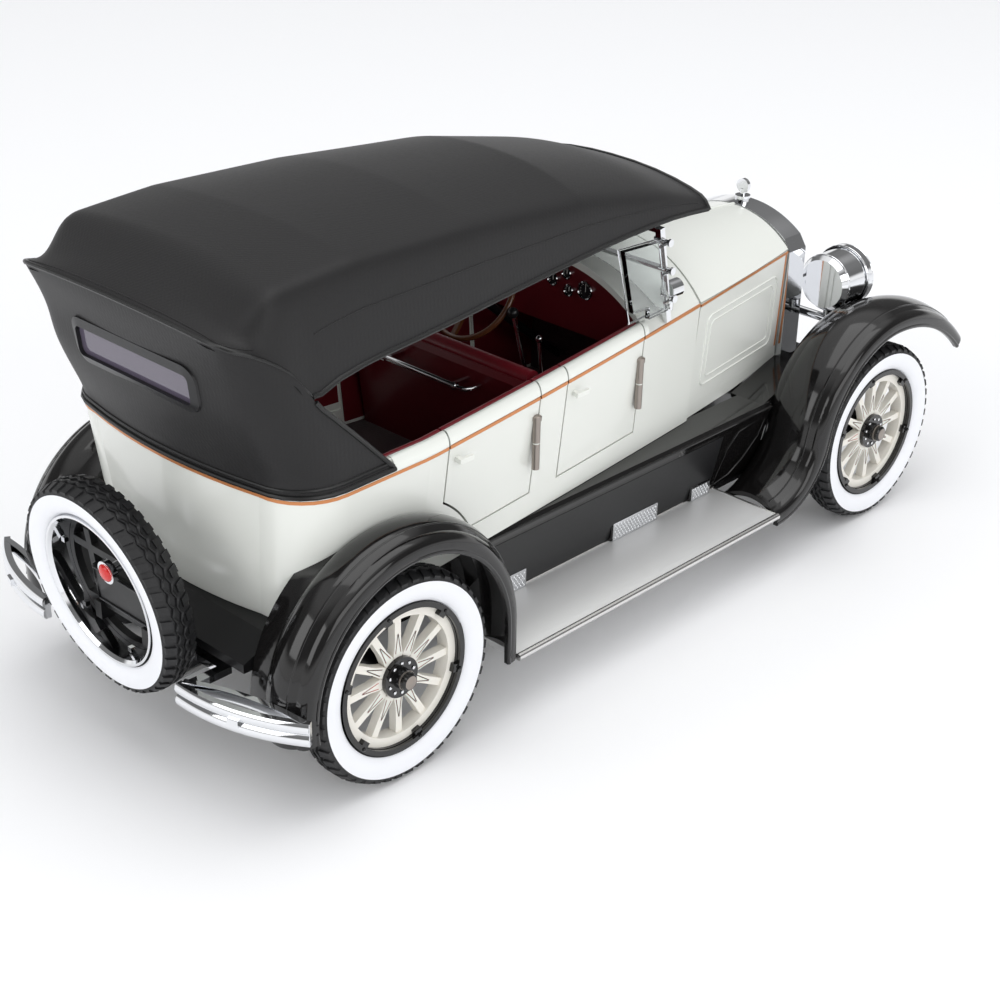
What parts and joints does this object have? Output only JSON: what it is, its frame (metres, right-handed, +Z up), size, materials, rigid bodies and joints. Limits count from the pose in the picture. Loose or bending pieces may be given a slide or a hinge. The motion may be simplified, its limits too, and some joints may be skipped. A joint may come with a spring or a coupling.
{
  "type": "die-cast scale model of a 1920s touring car",
  "caption": "Scale model of an open 1920s touring car with a fixed cloth-look top, opening doors and bonnet, steered front wheels and a spare wheel.",
  "frame": {"origin": "middle of the model's footprint, on the surface that the wheels stand on", "axes": "+X forward, +Y to the car's left, +Z up"},
  "size_m": [0.1879, 0.078, 0.0838],
  "materials": {
    "tyre_rubber": "matte black rubber with white side walls",
    "wheel_black": "gloss black",
    "wheel_cream": "satin cream with fine red lines",
    "chassis_black": "satin black",
    "fender_black": "gloss black",
    "body_ivory": "gloss ivory with a copper belt stripe",
    "board_silver": "satin silver",
    "bright_plate": "bright plated",
    "core_dark": "dark honeycomb",
    "clear_glass": "clear",
    "top_black": "matte black, soft sheen",
    "trim_maroon": "deep maroon",
    "wheel_brown": "dark brown",
    "engine_grey": "grey",
    "exhaust_steel": "dull"
  },
  "bodies": {
    "car": {"spare_tyre": "tyre_rubber", "spare_rim": "bright_plate", "spare_carrier": "chassis_black", "frame": "chassis_black", "springs": "chassis_black", "front_axle": "chassis_black", "rear_axle": "chassis_black", "rear_apron": "chassis_black", "steering_column": "chassis_black", "engine_block": "engine_grey", "exhaust": "exhaust_steel", "front_fenders": "fender_black", "rear_fenders": "fender_black", "side_aprons": "fender_black", "running_boards": "board_silver", "body_tub": "body_ivory", "cowl": "body_ivory", "bonnet_sides": "body_ivory", "bonnet_hinge": "body_ivory", "radiator_shell": "bright_plate", "headlamps": "bright_plate", "cowl_lamps": "bright_plate", "windscreen_frame": "bright_plate", "robe_rail": "bright_plate", "bumperettes": "bright_plate", "tail_lamp": "bright_plate", "levers": "bright_plate", "radiator_core": "core_dark", "windscreen_glass": "clear_glass", "wind_wings": "clear_glass", "rear_window": "clear_glass", "folding_top": "top_black", "front_seat": "trim_maroon", "rear_seat": "trim_maroon", "dash": "trim_maroon"},
    "wheel_fl": {"tyre_fl": "tyre_rubber", "rim_fl": "wheel_black", "spokes_fl": "wheel_cream", "hub_fl": "wheel_black"},
    "wheel_fr": {"tyre_fr": "tyre_rubber", "rim_fr": "wheel_black", "spokes_fr": "wheel_cream", "hub_fr": "wheel_black"},
    "wheel_rl": {"tyre_rl": "tyre_rubber", "rim_rl": "wheel_black", "spokes_rl": "wheel_cream", "hub_rl": "wheel_black"},
    "wheel_rr": {"tyre_rr": "tyre_rubber", "rim_rr": "wheel_black", "spokes_rr": "wheel_cream", "hub_rr": "wheel_black"},
    "steer_left": {"knuckle_left": "chassis_black"},
    "steer_right": {"knuckle_right": "chassis_black"},
    "hand_wheel": {"steering_wheel": "wheel_brown"},
    "door_front_left": {"door_front_left": "body_ivory"},
    "door_front_right": {"door_front_right": "body_ivory"},
    "door_rear_left": {"door_rear_left": "body_ivory"},
    "door_rear_right": {"door_rear_right": "body_ivory"},
    "bonnet_left": {"bonnet_left": "body_ivory"},
    "bonnet_right": {"bonnet_right": "body_ivory"}
  },
  "joints": [
    {"name": "steer_left", "type": "hinge", "parent": "car", "child": "steer_left", "pos_m": [0.0656, 0.0284, 0.01767], "axis": [0, 0, 1], "range_deg": [-25, 25]},
    {"name": "steer_right", "type": "hinge", "parent": "car", "child": "steer_right", "pos_m": [0.0656, -0.0284, 0.01767], "axis": [0, 0, 1], "range_deg": [-25, 25]},
    {"name": "roll_fl", "type": "hinge", "parent": "steer_left", "child": "wheel_fl", "pos_m": [0.0656, 0.033, 0.01767], "axis": [0, 1, 0], "continuous": true},
    {"name": "roll_fr", "type": "hinge", "parent": "steer_right", "child": "wheel_fr", "pos_m": [0.0656, -0.033, 0.01767], "axis": [0, 1, 0], "continuous": true},
    {"name": "roll_rl", "type": "hinge", "parent": "car", "child": "wheel_rl", "pos_m": [-0.0614, 0.033, 0.01767], "axis": [0, 1, 0], "continuous": true},
    {"name": "roll_rr", "type": "hinge", "parent": "car", "child": "wheel_rr", "pos_m": [-0.0614, -0.033, 0.01767], "axis": [0, 1, 0], "continuous": true},
    {"name": "hand_wheel_turn", "type": "hinge", "parent": "car", "child": "hand_wheel", "pos_m": [-0.001, 0.0105, 0.0514], "axis": [-0.788, 0, 0.6157], "range_deg": [-50, 50]},
    {"name": "open_front_left", "type": "hinge", "parent": "car", "child": "door_front_left", "pos_m": [0.007, 0.02227, 0.042], "axis": [0, 0, -1], "range_deg": [0, 60]},
    {"name": "open_front_right", "type": "hinge", "parent": "car", "child": "door_front_right", "pos_m": [0.007, -0.02227, 0.042], "axis": [0, 0, 1], "range_deg": [0, 60]},
    {"name": "open_rear_left", "type": "hinge", "parent": "car", "child": "door_rear_left", "pos_m": [-0.0235, 0.0262, 0.042], "axis": [0, 0, -1], "range_deg": [0, 60]},
    {"name": "open_rear_right", "type": "hinge", "parent": "car", "child": "door_rear_right", "pos_m": [-0.0235, -0.0262, 0.042], "axis": [0, 0, 1], "range_deg": [0, 60]},
    {"name": "open_bonnet_left", "type": "hinge", "parent": "car", "child": "bonnet_left", "pos_m": [0.0266, 0, 0.0599], "axis": [0.9962, 0, -0.0876], "range_deg": [0, 60]},
    {"name": "open_bonnet_right", "type": "hinge", "parent": "car", "child": "bonnet_right", "pos_m": [0.0266, 0, 0.0599], "axis": [-0.9962, 0, 0.0876], "range_deg": [0, 60]}
  ],
  "couplings": [
    {"joint": "steer_right", "follows": "steer_left", "ratio": 1},
    {"joint": "hand_wheel_turn", "follows": "steer_left", "ratio": 2}
  ]
}
